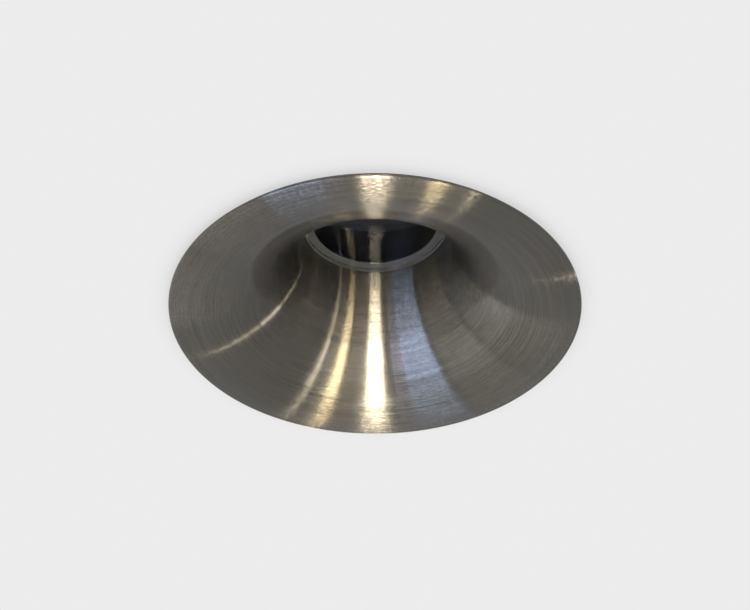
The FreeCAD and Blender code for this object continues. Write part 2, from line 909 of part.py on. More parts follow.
def clip_place(number, tilt=0):
    """Where a clip piece goes: tilt drops its x axis below the level."""
    angle = 90 + 360 * number / size("clip_count").value
    spin = Rotation(Vector(0, 0, 1), angle)
    place = spin.multVec(Vector(size("pivot_radius").value, 0, size("pivot_high").value))
    return Placement(place, spin.multiply(Rotation(Vector(0, 1, 0), tilt)))


def arm_drop():
    """The angle in degrees that the arm hangs below the level, with its tip just over the seat."""
    fall = size("pivot_high").value - size("clip_tip_high").value
    return math.degrees(math.asin(fall / size("arm_long").value))


def bracket_back():
    return size("flat_radius") - size("pivot_radius")


def make_bracket(number):
    metal = size("bracket_metal")
    inner = size("arm_half_wide") + size("bracket_gap")
    outer = inner + metal
    back = bracket_back()
    front = back + metal
    nose = size("pin_radius") + dim(2.5)
    low = -nose + dim(0.5)
    high = size("clip_screw_up") + dim(2.5)
    body = new_body(f"clip_bracket_{number + 1}")
    sketch = new_sketch(body, f"{body.Label}_plan", "XY_Plane", low)
    corners = [(back, -outer), (nose, -outer), (nose, -inner), (front, -inner)]
    corners += [(front, inner), (nose, inner), (nose, outer), (back, outer)]
    draw_outline(sketch, corners)
    push(body, "Pad", sketch, high - low)
    sketch = new_sketch(body, f"{body.Label}_ear_cut", "XZ_Plane")
    beyond = nose + dim(1)
    draw_outline(
        sketch,
        [
            (ZERO, nose),
            (front, nose + dim(2)),
            (front, high + dim(1)),
            (beyond, high + dim(1)),
            (beyond, low - dim(1)),
            (nose / 2, low - dim(1)),
            (nose * 0.6, -nose * 0.8, nose),
            (nose, ZERO, nose),
        ],
    )
    push(body, "Pocket", sketch, both_ways=True)
    sketch = new_sketch(body, f"{body.Label}_pin_hole", "XZ_Plane")
    draw_circle(sketch, ZERO, ZERO, size("pin_radius") + size("pin_clear") / 2)
    push(body, "Pocket", sketch, both_ways=True)
    sketch = new_sketch(body, f"{body.Label}_screw_holes", "YZ_Plane")
    for side in (-1, 1):
        hole = size("small_screw_radius") + size("screw_clear")
        draw_circle(sketch, size("clip_screw_side") * side, size("clip_screw_up"), hole)
    push(body, "Pocket", sketch, both_ways=True)
    body.Placement = clip_place(number)


def make_pin(number):
    ear = (size("arm_half_wide") + size("bracket_gap") + size("bracket_metal")).value
    radius = size("pin_radius").value
    head = Part.makeCylinder(radius + 1, 1.0)
    shapes = []
    for side in (-1, 1):
        start = ear + 0.05 if side > 0 else -ear - 1.05
        shapes.append(head.translated(Vector(0, 0, start)))
    pin = Part.makeCylinder(radius, 2 * ear + 1, Vector(0, 0, -ear - 0.5)).multiFuse(shapes)
    feature = doc.addObject("Part::Feature", f"clip_pin_{number + 1}")
    feature.Label = feature.Name
    pin.rotate(Vector(), Vector(1, 0, 0), 90)
    feature.Shape = pin.removeSplitter()
    feature.Placement = clip_place(number)


def make_arm(number):
    metal = size("arm_metal")
    half = size("arm_half_wide")
    long = size("arm_long")
    eye = size("pin_radius") + dim(2.2)
    web_top = -(size("spring_mean") + size("spring_wire") / 2 + dim(0.05))
    web_low = web_top - metal
    web_start = eye + dim(1.8)
    body = new_body(f"clip_arm_{number + 1}")
    sketch = new_sketch(body, f"{body.Label}_side", "XZ_Plane")
    draw_outline(
        sketch,
        [
            (ZERO, eye),
            (long * 0.38, web_top + dim(1.5)),
            (long * 0.68, web_top + dim(0.9)),
            (long * 0.7, web_top),
            (long, web_top),
            (long, web_low),
            (web_start, web_low),
            (ZERO, -eye, -eye),
            (-eye, ZERO, -eye),
        ],
    )
    push(body, "Pad", sketch, half * 2, both_ways=True)
    inner = half - metal
    plan_low = web_low - dim(1)
    sketch = new_sketch(body, f"{body.Label}_eye_gap", "XY_Plane", plan_low)
    draw_outline(sketch, box_corners(-eye - dim(1), web_start, -inner, inner))
    push(body, "Pocket", sketch, reverse=True)
    sketch = new_sketch(body, f"{body.Label}_channel", "XY_Plane", web_top)
    draw_outline(sketch, box_corners(ZERO, long + dim(1), -inner, inner))
    push(body, "Pocket", sketch, reverse=True)
    sketch = new_sketch(body, f"{body.Label}_pin_hole", "XZ_Plane")
    draw_circle(sketch, ZERO, ZERO, size("pin_radius") + size("pin_clear"))
    push(body, "Pocket", sketch, both_ways=True)
    body.Placement = clip_place(number, arm_drop())
    make_tip(number, web_top, web_low)


def make_tip(number, web_top, web_low):
    """A soft sleeve over the end of the arm."""
    long = size("arm_long")
    half = size("arm_half_wide")
    wall = size("tip_wall")
    start = long * 0.8
    end = long + wall
    nose = (web_top - web_low) / 2 + wall
    body = new_body(f"clip_tip_{number + 1}")
    sketch = new_sketch(body, f"{body.Label}_side", "XZ_Plane")
    centre = (web_top + web_low) / 2
    draw_outline(
        sketch,
        [
            (start, centre - nose),
            (end - nose, centre - nose, nose),
            (end, centre, nose),
            (end - nose, centre + nose),
            (start, centre + nose),
        ],
    )
    push(body, "Pad", sketch, (half + wall) * 2, both_ways=True)
    sketch = new_sketch(body, f"{body.Label}_slot", "YZ_Plane")
    draw_outline(sketch, box_corners(-half, half, web_low, web_top))
    push(body, "Pocket", sketch, long, reverse=True)
    body.Placement = clip_place(number, arm_drop())


def spring_path():
    """The wire's centre line: a leg on the bracket, a close coil, and a leg on the arm."""
    mean = size("spring_mean").value
    pitch = size("spring_pitch").value
    reach = (bracket_back() + size("bracket_metal")).value + size("spring_wire").value / 2 + 0.05
    lean_leg = size("spring_short_leg").value
    # the upright leg leans until it meets the bracket's plate
    lean = math.asin(-reach / math.hypot(mean, lean_leg)) - math.atan2(mean, lean_leg)
    first = math.pi + lean
    last = 2 * math.pi * size("spring_turns").value + math.radians(270 - arm_drop())
    quarters = round((last - first) / (math.pi / 2))
    step = (last - first) / quarters
    rise = pitch * step / (2 * math.pi)
    middle = rise * quarters / 2

    def on_coil(angle, along):
        return Vector(mean * math.cos(angle), along, mean * math.sin(angle))

    def heading(angle):
        slope = pitch / (2 * math.pi * mean)
        return Vector(-math.sin(angle), slope, math.cos(angle)).normalize()

    edges = []
    start = on_coil(first, -middle)
    leg_start = start - heading(first) * lean_leg
    edges.append(Part.LineSegment(leg_start, start).toShape())
    for quarter in range(quarters):
        low = first + step * quarter
        high = low + step
        a = on_coil(low, rise * quarter - middle)
        b = on_coil(high, rise * (quarter + 1) - middle)
        edges += biarc(a, heading(low), b, heading(high))
    end = on_coil(last, middle)
    leg_long = size("arm_long").value * 0.5
    leg_end = end + heading(last) * leg_long
    edges.append(Part.LineSegment(end, leg_end).toShape())
    return Part.Wire(edges), leg_start, heading(first)


def biarc(a, ta, b, tb):
    """Two arcs that leave a along ta and reach b along tb."""
    across = b - a
    both = ta + tb
    k = 2 * (1 - ta.dot(tb))
    linear = 2 * across.dot(both)
    length = (-linear + math.sqrt(linear * linear + 4 * k * across.dot(across))) / (2 * k)
    join = ((a + ta * length) + (b - tb * length)) * 0.5

    def arc(start, direction, end):
        chord = end - start
        normal = direction.cross(chord).cross(direction)
        normal.normalize()
        radius = chord.dot(chord) / (2 * chord.dot(normal))
        centre = start + normal * radius
        half = ((start - centre) + (end - centre)).normalize()
        return Part.Arc(start, centre + half * radius, end).toShape()

    return [arc(a, ta, join), arc(join, reflect(tb, b - join), b)]


def reflect(direction, chord):
    """The heading at the start of an arc, from its heading at the end and its chord."""
    along = chord * (2 * direction.dot(chord) / chord.dot(chord))
    return (along - direction).normalize()


def make_spring(number):
    path, start, heading = spring_path()
    section = Part.Wire(Part.Circle(start, heading, size("spring_wire").value / 2).toShape())
    feature = doc.addObject("Part::Feature", f"clip_spring_{number + 1}")
    feature.Label = feature.Name
    feature.Shape = path.makePipeShell([section], True, False)
    feature.Placement = clip_place(number)
    return path


def least_spring_gap(path):
    """The least gap between the wire's surface and itself, measured on points along the coil."""
    wire = size("spring_wire").value
    one_turn = 2 * math.pi * size("spring_mean").value
    points = path.discretize(Distance=0.25)
    apart = round(one_turn * 0.5 / 0.25)
    least = min((p - q).Length for i, p in enumerate(points) for q in points[i + apart :])
    return least - wire


def make_clip_screws():
    small = size("small_screw_radius").value
    long = (size("bracket_metal") + size("clip_bite_long")).value
    screw = cap_screw(small, small * 1.55, size("clip_head_tall").value, long)
    screw.rotate(Vector(), Vector(0, 1, 0), 90)
    face = (bracket_back() + size("bracket_metal")).value
    screws = []
    for number in range(int(size("clip_count").value)):
        for side in (-1, 1):
            copy = screw.copy()
            copy.translate(Vector(face, size("clip_screw_side").value * side, size("clip_screw_up").value))
            copy.Placement = clip_place(number).multiply(copy.Placement)
            screws.append(copy)
    group("clip_screws", screws)


make_flare()
make_soffit_gasket()
make_glass_and_seals()
make_reflector()
make_collar()
make_housing()
make_housing_seal()
make_heat_sink()
make_led()
make_holder()
make_terminal_block()
make_leads()
make_cover()
make_gland()
make_screws()
for clip_number in range(int(size("clip_count").value)):
    make_bracket(clip_number)
    make_pin(clip_number)
    make_arm(clip_number)
    spring_line = make_spring(clip_number)
make_clip_screws()
print("least gap in a clip spring, mm:", round(least_spring_gap(spring_line), 3))

doc.recompute()

# ---- check every object, then write the sub-parts ----

for item in doc.Objects:
    if "Invalid" in item.State or "Error" in item.State:
        raise RuntimeError(f"{item.Label} did not build: {item.State}")

SUB_PARTS = [o for o in doc.Objects if o.TypeId in ("PartDesign::Body", "Part::Feature")]
for item in SUB_PARTS:
    if item.Shape.isNull() or not item.Shape.isValid():
        raise RuntimeError(f"{item.Label} has no valid shape")

os.makedirs("parts", exist_ok=True)
for item in SUB_PARTS:
    item.Shape.exportStep(f"parts/{item.Label}.step")
print(len(SUB_PARTS), "sub-parts written")
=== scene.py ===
import json
import math

import bpy
from mathutils import Matrix, Vector


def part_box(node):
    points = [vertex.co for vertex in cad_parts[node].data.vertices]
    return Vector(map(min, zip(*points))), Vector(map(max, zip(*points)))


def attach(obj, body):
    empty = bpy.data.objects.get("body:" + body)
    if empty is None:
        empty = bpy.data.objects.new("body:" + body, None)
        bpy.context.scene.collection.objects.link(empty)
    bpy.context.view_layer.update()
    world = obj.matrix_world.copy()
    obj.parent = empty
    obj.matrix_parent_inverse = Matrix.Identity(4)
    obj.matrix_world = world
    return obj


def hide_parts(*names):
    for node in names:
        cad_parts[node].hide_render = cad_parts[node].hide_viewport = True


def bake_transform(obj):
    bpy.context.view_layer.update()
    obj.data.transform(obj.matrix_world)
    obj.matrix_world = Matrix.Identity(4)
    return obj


# A recessed soffit downlight, seen from below as it hangs in a pale soffit.
# Metres throughout. +Z points up into the soffit, and the seat plane is z = 0.

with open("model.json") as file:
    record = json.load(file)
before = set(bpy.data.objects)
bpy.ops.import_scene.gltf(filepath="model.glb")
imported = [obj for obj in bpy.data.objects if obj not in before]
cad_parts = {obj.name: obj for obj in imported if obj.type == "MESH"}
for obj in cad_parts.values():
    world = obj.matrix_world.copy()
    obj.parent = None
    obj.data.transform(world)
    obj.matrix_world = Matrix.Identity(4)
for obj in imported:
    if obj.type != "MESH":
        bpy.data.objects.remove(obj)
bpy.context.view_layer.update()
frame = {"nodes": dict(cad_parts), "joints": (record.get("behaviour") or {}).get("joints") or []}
MM = 0.001


def box_of(node):
    low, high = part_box(node)
    return Vector(low), Vector(high)


# ---- sizes read from the frame ----

FLARE_LOW, FLARE_HIGH = box_of("flare_bezel")
SEAL_LOW, SEAL_HIGH = box_of("lens_seal")
GLASS_LOW, GLASS_HIGH = box_of("lens_glass")
OPTIC_LOW, OPTIC_HIGH = box_of("reflector")
RIM_RADIUS = FLARE_HIGH.x
RIM_FRONT = FLARE_LOW.z
NECK_TOP = FLARE_HIGH.z
NECK_RADIUS = SEAL_HIGH.x
FLARE_ARC = 45 * MM
SHEET = 1.5 * MM
EDGE_ROUND = 0.6 * MM
NECK_BEND = 2 * MM
NECK_FLANGE = 7.7 * MM

# ---- the camera: it looks up at the rim from in front and below ----

CAMERA_AWAY = 542.5 * MM
CAMERA_BELOW = math.radians(38.28)
LENS = 69.07
SHIFT_UP = 0.0197

# ---- mesh helpers ----


def add_object(name, mesh, body="fixture"):
    piece = bpy.data.objects.new(name, mesh)
    bpy.context.scene.collection.objects.link(piece)
    if body:
        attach(piece, body)
    return piece


def mesh_from(name, points, faces, smooth_angle=35):
    mesh = bpy.data.meshes.new(name)
    mesh.from_pydata(points, [], faces)
    mesh.validate()
    for polygon in mesh.polygons:
        polygon.use_smooth = True
    mesh.set_sharp_from_angle(angle=math.radians(smooth_angle))
    mesh.update()
    return mesh


def arc_points(centre, radius, start, end, steps):
    """Points on an arc of a section, from one angle in degrees to another."""
    points = []
    for step in range(steps + 1):
        angle = math.radians(start + (end - start) * step / steps)
        points.append((centre[0] + radius * math.cos(angle), centre[1] + radius * math.sin(angle)))
    return points


def lathe(name, section, turns, closed, smooth_angle):
    """A section of (radius, height) points swung round the lamp's axis.

    A closed section joins its last point to its first.
    """
    points, faces = [], []
    count = len(section)
    for step in range(turns):
        angle = 2 * math.pi * step / turns
        for radius, height in section:
            points.append((radius * math.cos(angle), radius * math.sin(angle), height))
    for step in range(turns):
        here = step * count
        there = (step + 1) % turns * count
        for i in range(count if closed else count - 1):
            j = (i + 1) % count
            faces.append((here + i, here + j, there + j, there + i))
    return mesh_from(name, points, faces, smooth_angle)


# ---- node helpers for materials ----


class Finish:
    """A material whose nodes are added one call at a time."""

    def __init__(self, name):
        self.material = bpy.data.materials.new(name)
        self.material.use_nodes = True
        self.tree = self.material.node_tree
        self.shader = self.tree.nodes["Principled BSDF"]
        self.output = self.tree.nodes["Material Output"]

    def node(self, kind, settings=None, **inputs):
        made = self.tree.nodes.new(kind)
        for key, value in (settings or {}).items():
            setattr(made, key, value)
        for key, value in inputs.items():
            self.feed(made, key.replace("_", " "), value)
        return made

    def feed(self, node, socket, value):
        """Sets or links one input, by its name, or as i0, i1 by its place."""
        by_place = socket[0] == "i" and socket[1:].isdigit()
        target = node.inputs[int(socket[1:]) if by_place else socket]
        if isinstance(value, bpy.types.NodeSocket):
            self.tree.links.new(value, target)
        elif isinstance(value, bpy.types.Node):
            self.tree.links.new(value.outputs[0], target)
        else:
            target.default_value = value

    def set(self, **inputs):
        for key, value in inputs.items():
            self.feed(self.shader, key.replace("_", " "), value)

    def math(self, operation, a, b=0.0):
        return self.node("ShaderNodeMath", {"operation": operation}, i0=a, i1=b)

    def place(self):
        return self.node("ShaderNodeTexCoord").outputs["Object"]

    def noise(self, scale, detail, vector=None, rough=0.55):
        made = self.node("ShaderNodeTexNoise", Scale=scale, Detail=detail, Roughness=rough)
        self.feed(made, "Vector", vector if vector is not None else self.place())
        return made.outputs["Fac"]

    def ramp(self, value, low, high, start=0.3, end=0.7):
        """A value or colour that runs from low to high as the input goes from start to end."""
        if isinstance(low, (int, float)):
            made = self.node("ShaderNodeMapRange", Value=value)
            made.inputs["From Min"].default_value = start
            made.inputs["From Max"].default_value = end
            made.inputs["To Min"].default_value = low
            made.inputs["To Max"].default_value = high
            return made.outputs[0]
        made = self.node("ShaderNodeValToRGB", Fac=value)
        made.color_ramp.elements[0].position = start
        made.color_ramp.elements[0].color = (*low, 1)
        made.color_ramp.elements[1].position = end
        made.color_ramp.elements[1].color = (*high, 1)
        return made.outputs[0]

    def bump(self, height, strength, distance):
        made = self.node("ShaderNodeBump", Height=height, Strength=strength, Distance=distance)
        self.set(Normal=made)


def ring_place(finish, fine, around):
    """Coordinates that run fast across the lathe's rings and slowly round them."""
    parts = finish.node("ShaderNodeSeparateXYZ", Vector=finish.place())
    x, y, z = parts.outputs
    squares = finish.math("ADD", finish.math("MULTIPLY", x, x), finish.math("MULTIPLY", y, y))
    radius = finish.math("SQRT", squares)
    angle = finish.math("ARCTAN2", y, x)
    joined = finish.node("ShaderNodeCombineXYZ")
    finish.feed(joined, "X", finish.math("MULTIPLY", radius, fine))
    finish.feed(joined, "Y", finish.math("MULTIPLY", angle, around))
    finish.feed(joined, "Z", finish.math("MULTIPLY", z, fine))
    return joined.outputs[0]


# The lathe's marks: how many to the metre across the rings, and to the radian round them.
BRUSH_RINGS = (2600, 1.2)
BRUSH_GROOVES = (31000, 30)
BRUSH_BANDS = (260, 0.6)
# How far the marks tip the surface along the flare's section, as a slope.
GROOVE_SLOPE = 1.35
RING_SLOPE = 0.06
STEEL_DARK = (0.068, 0.063, 0.053)
STEEL_PALE = (0.118, 0.110, 0.096)
STEEL_WORN = (0.80, 0.79, 0.77)


def brushed_normal(finish, around, slope):
    """The surface's own normal, tipped along the flare's section by a slope."""
    upright = finish.node("ShaderNodeNewGeometry").outputs["Normal"]
    section = finish.node("ShaderNodeVectorMath", {"operation": "CROSS_PRODUCT"}, i0=around, i1=upright)
    tip = finish.node("ShaderNodeVectorMath", {"operation": "SCALE"}, i0=section)
    finish.feed(tip, "Scale", slope)
    tipped = finish.node("ShaderNodeVectorMath", {"operation": "ADD"}, i0=upright, i1=tip)
    return finish.node("ShaderNodeVectorMath", {"operation": "NORMALIZE"}, i0=tipped)


def spun_steel():
    """Stainless sheet brushed on the lathe.

    Its rings tip the surface along the lamp's section and hardly across it, so each light is
    drawn into one long radial streak. A thin lacquer adds a small sharp glint.
    """
    finish = Finish("spun_steel")
    rings = finish.noise(1.0, 3.0, ring_place(finish, *BRUSH_RINGS), 0.7)
    grooves = finish.noise(1.0, 1.0, ring_place(finish, *BRUSH_GROOVES))
    bands = finish.noise(1.0, 2.0, ring_place(finish, *BRUSH_BANDS))
    mottle = finish.noise(26.0, 4.0)
    tone = finish.ramp(rings, STEEL_DARK, STEEL_PALE)
    worn = finish.node("ShaderNodeMix", {"data_type": "RGBA", "blend_type": "MULTIPLY"}, Factor=0.5)
    finish.feed(worn, "i6", tone)
    finish.feed(worn, "i7", finish.ramp(mottle, STEEL_WORN, (1, 1, 1)))
    around = finish.node("ShaderNodeTangent", {"direction_type": "RADIAL", "axis": "Z"}).outputs[0]
    slope = finish.ramp(grooves, -GROOVE_SLOPE, GROOVE_SLOPE, 0.2, 0.8)
    slope = finish.math("ADD", slope, finish.ramp(rings, -RING_SLOPE, RING_SLOPE, 0.2, 0.8))
    normal = brushed_normal(finish, around, slope)
    rough = finish.math("ADD", finish.ramp(bands, 0.17, 0.21), finish.ramp(rings, -0.01, 0.02))
    finish.set(Base_Color=worn.outputs[2], Metallic=1.0, Roughness=rough, Tangent=around)
    finish.set(Anisotropic=1.0, Anisotropic_Rotation=0.25, Normal=normal)
    finish.set(Coat_Weight=0.35, Coat_Roughness=0.11, Coat_IOR=1.5)
    return finish.material


# Low, for a coated glass that mirrors the steel only faintly.
GLASS_INDEX = 1.18


def clear_glass():
    """Clear glass with a little dust, which lets the lamps' light through."""
    finish = Finish("clear_glass")
    finish.set(Base_Color=(0.97, 0.99, 0.985, 1), IOR=GLASS_INDEX, Transmission_Weight=1.0)
    dust = finish.noise(900.0, 2.0)
    finish.set(Roughness=finish.ramp(dust, 0.0, 0.02, 0.62, 0.8))
    clear = finish.node("ShaderNodeBsdfTransparent", Color=(0.93, 0.95, 0.945, 1))
    paths = finish.node("ShaderNodeLightPath")
    mix = finish.node("ShaderNodeMixShader", Fac=paths.outputs["Is Shadow Ray"])
    finish.tree.links.new(finish.shader.outputs[0], mix.inputs[1])
    finish.tree.links.new(clear.outputs[0], mix.inputs[2])
    finish.tree.links.new(mix.outputs[0], finish.output.inputs["Surface"])
    return finish.material


def mirror_coat(name, tone, rough):
    """Vacuum-coated plastic: a mirror with faint clouds and waves."""
    finish = Finish(name)
    cloud = finish.noise(180.0, 3.0)
    finish.set(
        Base_Color=finish.ramp(cloud, tuple(c * 0.85 for c in tone), tone),
        Metallic=1.0,
        Roughness=finish.ramp(cloud, rough * 0.8, rough * 1.3),
    )
    finish.bump(finish.noise(700.0, 2.0), 0.08, 0.02 * MM)
    return finish.material


def cast_metal(name, tone, rough, metallic=1.0):
    """Bead-blasted casting: a fine even grain with faint clouds."""
    finish = Finish(name)
    grain = finish.noise(4200.0, 2.0)
    cloud = finish.noise(60.0, 3.0)
    finish.set(
        Base_Color=finish.ramp(cloud, tuple(c * 0.88 for c in tone), tone),
        Metallic=metallic,
        Roughness=finish.ramp(grain, rough - 0.06, rough + 0.08),
    )
    finish.bump(grain, 0.35, 0.03 * MM)
    return finish.material


def rubber(name, tone, rough=0.6):
    """Matt silicone or rubber, with paler dust on it."""
    finish = Finish(name)
    grain = finish.noise(2600.0, 3.0)
    dust = finish.noise(140.0, 4.0)
    pale = tuple(min(1, c * 1.5 + 0.012) for c in tone)
    finish.set(Base_Color=finish.ramp(dust, tone, pale, 0.35, 0.8))
    finish.set(Roughness=finish.ramp(grain, rough - 0.08, rough + 0.1))
    finish.set(Specular_IOR_Level=0.35)
    finish.bump(grain, 0.3, 0.03 * MM)
    return finish.material


def plastic(name, tone, rough):
    """Moulded plastic: a fine grain with faint clouds."""
    finish = Finish(name)
    grain = finish.noise(3000.0, 2.0)
    finish.set(
        Base_Color=finish.ramp(finish.noise(90.0, 3.0), tuple(c * 0.9 for c in tone), tone),
        Roughness=finish.ramp(grain, rough - 0.06, rough + 0.08),
    )
    finish.bump(grain, 0.2, 0.02 * MM)
    return finish.material


def drawn_steel(name, tone, rough):
    """Rolled strip and wire: long fine lines in bright metal."""
    finish = Finish(name)
    stretch = finish.node("ShaderNodeMapping", Vector=finish.place(), Scale=(900.0, 900.0, 5000.0))
    lines = finish.noise(1.0, 3.0, stretch.outputs[0])
    finish.set(
        Base_Color=finish.ramp(lines, tuple(c * 0.9 for c in tone), tone),
        Metallic=1.0,
        Roughness=finish.ramp(lines, rough - 0.07, rough + 0.1),
    )
    finish.bump(lines, 0.08, 0.01 * MM)
    return finish.material


# How far the lamp's soft shadow reaches on the board, and how pale its darkest part stays.
SHADOW_REACH = 9 * MM
SHADOW_LEVEL = 0.78


def glow_backdrop(name, level, solid_from_above):
    """A pale plain board that shows its own colour, and a soft shadow where the lamp stands close.

    A board that isn't solid from above can be looked through from its back.
    """
    finish = Finish(name)
    tree = finish.tree
    finish.set(Base_Color=(level, level, level, 1), Roughness=0.9, Specular_IOR_Level=0.0)
    open_sky = finish.node("ShaderNodeAmbientOcclusion", {"samples": 3}, Distance=SHADOW_REACH)
    shade = finish.ramp(open_sky.outputs["AO"], SHADOW_LEVEL, 1.0, 0.45, 0.98)
    glow = finish.node("ShaderNodeEmission", Color=(level, level, level, 1), Strength=shade)
    paths = finish.node("ShaderNodeLightPath")
    shown = finish.math("MAXIMUM", paths.outputs["Is Camera Ray"], paths.outputs["Is Transmission Ray"])
    shown = finish.math("MAXIMUM", shown, paths.outputs["Is Glossy Ray"])
    mix = finish.node("ShaderNodeMixShader", Fac=shown)
    tree.links.new(finish.shader.outputs[0], mix.inputs[1])
    tree.links.new(glow.outputs[0], mix.inputs[2])
    last = mix
    if not solid_from_above:
        gone = finish.node("ShaderNodeBsdfTransparent")
        side = finish.node("ShaderNodeNewGeometry").outputs["Backfacing"]
        last = finish.node("ShaderNodeMixShader", Fac=side)
        tree.links.new(mix.outputs[0], last.inputs[1])
        tree.links.new(gone.outputs[0], last.inputs[2])
    tree.links.new(last.outputs[0], finish.output.inputs["Surface"])
    return finish.material


# ---- the flare ----


def build_flare(material):
    arc_radius_place = NECK_RADIUS + FLARE_ARC
    arc_height = RIM_FRONT + FLARE_ARC
    back_arc = FLARE_ARC - SHEET
    flange = NECK_RADIUS + NECK_FLANGE
    edge = EDGE_ROUND
    section = []
    section += arc_points((RIM_RADIUS - edge, RIM_FRONT + edge), edge, 0, -90, 6)
    section += arc_points((arc_radius_place, arc_height), FLARE_ARC, 270, 180, 96)
    section += arc_points((NECK_RADIUS + NECK_BEND, NECK_TOP - NECK_BEND), NECK_BEND, 180, 90, 8)
    section += [(flange, NECK_TOP), (flange, NECK_TOP - SHEET)]
    inner = NECK_BEND - SHEET
    section += arc_points((NECK_RADIUS + NECK_BEND, NECK_TOP - NECK_BEND), inner, 90, 180, 4)
    section += arc_points((arc_radius_place, arc_height), back_arc, 180, 270, 64)
    section += arc_points((RIM_RADIUS - edge, RIM_FRONT + SHEET - edge), edge, 90, 0, 6)
    flare = add_object("flare", lathe("flare", section, 512, True, 50))
    flare.data.materials.append(material)
    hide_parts("flare_bezel")


# ---- the glass and its bead ----

GLASS_CHAMFER = 0.3 * MM
GLASS_MIDDLE = 0.5 * MM
GLASS_TURNS = 384


def build_glass(material):
    """A disc with chamfered edges, whose flat middles are closed by one face each."""
    radius, front, back = GLASS_HIGH.x, GLASS_LOW.z, GLASS_HIGH.z
    cut = GLASS_CHAMFER
    section = [(GLASS_MIDDLE, back), (radius - cut, back), (radius, back - cut)]
    section += [(radius, front + cut), (radius - cut, front), (GLASS_MIDDLE, front)]
    mesh = lathe("clear_lens", section, GLASS_TURNS, False, 20)
    count = len(section)
    ends = [[turn * count + end for turn in range(GLASS_TURNS)] for end in (0, count - 1)]
    faces = [tuple(polygon.vertices) for polygon in mesh.polygons]
    faces += [tuple(ends[0]), tuple(reversed(ends[1]))]
    points = [tuple(vertex.co) for vertex in mesh.vertices]
    glass = add_object("clear_lens", mesh_from("clear_lens", points, faces, 20))
    glass.data.materials.append(material)
    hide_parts("lens_glass")


def build_lens_seal(material):
    """The bead between the glass and the neck, slightly hollow in front."""
    inside, outside = GLASS_HIGH.x, NECK_RADIUS
    low, high = SEAL_LOW.z, SEAL_HIGH.z
    dip = (outside - inside) * 0.15
    section = [(inside, high), (outside, high), (outside, low)]
    section += [((inside + outside) / 2, low + dip), (inside, low)]
    bead = add_object("lens_bead", lathe("lens_bead", section, GLASS_TURNS, True, 40))
    bead.data.materials.append(material)
    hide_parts("lens_seal")


# ---- the reflector: rows of small pillowed facets in a parabola ----

OPTIC_OPEN = 24.8 * MM
OPTIC_BACK_OPEN = 8.8 * MM
OPTIC_WALL = 1.2 * MM
OPTIC_FLANGE = 1.0 * MM
FACETS_ROUND = 72
FACET_ROWS = 26
FACET_CROWN = 0.04 * MM
FACET_STEPS = 4
MESH_ROWS = FACET_ROWS * FACET_STEPS
MESH_TURNS = FACETS_ROUND * FACET_STEPS
OPTIC_LIP_RADIUS = 0.25 * MM
OPTIC_LIP_TALL = 0.3 * MM
OUTLINE_STEPS = 12
FLANGE_CLEAR = 0.1 * MM
FRONT_FACE_TALL = 0.05 * MM


def optic_radius(share):
    """The optic's open radius at a share of its length, from the front."""
    return OPTIC_BACK_OPEN + (OPTIC_OPEN - OPTIC_BACK_OPEN) * math.sqrt(max(1 - share, 0))


def pillow(step):
    """How a facet swells along its width: 0 on its edges and 1 in its middle."""
    return math.sin(math.pi * (step % FACET_STEPS) / FACET_STEPS)


def facet_points(front, back):
    """The pillowed inside of the optic, row by row from the front."""
    points = []
    for row in range(MESH_ROWS + 1):
        share = 1 - (1 - row / MESH_ROWS) ** 2
        height = front + (back - front) * share
        for turn in range(MESH_TURNS):
            angle = 2 * math.pi * turn / MESH_TURNS
            radius = optic_radius(share) - FACET_CROWN * pillow(row) * pillow(turn)
            points.append((radius * math.cos(angle), radius * math.sin(angle), height))
    return points


def optic_outside(front, back):
    """The optic's outer outline, from its back to the front of its flange."""
    flange_back = front + OPTIC_FLANGE
    outline = [(OPTIC_BACK_OPEN + OPTIC_WALL, back)]
    for step in range(1, OUTLINE_STEPS + 1):
        share = 1 - (step / OUTLINE_STEPS) ** 2
        height = front + (back - front) * share
        if height > flange_back + FLANGE_CLEAR:
            outline.append((optic_radius(share) + OPTIC_WALL, height))
    outline += [(OPTIC_OPEN + OPTIC_WALL, flange_back), (OPTIC_HIGH.x, flange_back)]
    outline += [(OPTIC_HIGH.x, front), (OPTIC_OPEN + OPTIC_LIP_RADIUS, front)]
    return outline


def build_reflector(metal, flange_finish):
    front, back = OPTIC_LOW.z, OPTIC_HIGH.z
    turns = MESH_TURNS
    points = facet_points(front + OPTIC_LIP_TALL, back)
    for radius, height in optic_outside(front, back):
        for turn in range(turns):
            angle = 2 * math.pi * turn / turns
            points.append((radius * math.cos(angle), radius * math.sin(angle), height))
    rings = len(points) // turns
    faces = []
    for ring in range(rings):
        here, after = ring * turns, (ring + 1) % rings * turns
        for turn in range(turns):
            beside = (turn + 1) % turns
            faces.append((here + turn, after + turn, after + beside, here + beside))
    mesh = mesh_from("faceted_reflector", points, faces, 25)
    mesh.materials.append(metal)
    mesh.materials.append(flange_finish)
    for polygon in mesh.polygons:
        if polygon.center.z < front + FRONT_FACE_TALL:
            polygon.material_index = 1
    piece = add_object("faceted_reflector", mesh)
    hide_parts("reflector")


# ---- the clip springs, coiled between the bracket's plate and their arm ----

SPRING_WIRE = 1.0 * MM
SPRING_MEAN = 3.3 * MM
SPRING_PITCH = 1.5 * MM
SPRING_TURNS = 4
SHORT_LEG = 7 * MM
LONG_LEG = 20 * MM
SHORT_LEG_STEPS = 8
LONG_LEG_STEPS = 60
COIL_STEP = 9  # degrees
# from the pivot back to the wire on the bracket's plate
PLATE_REACH = 4.25 * MM
# the arm's slope at rest, from its drop and its length in mm
ARM_DROP = math.asin(31 / 40)


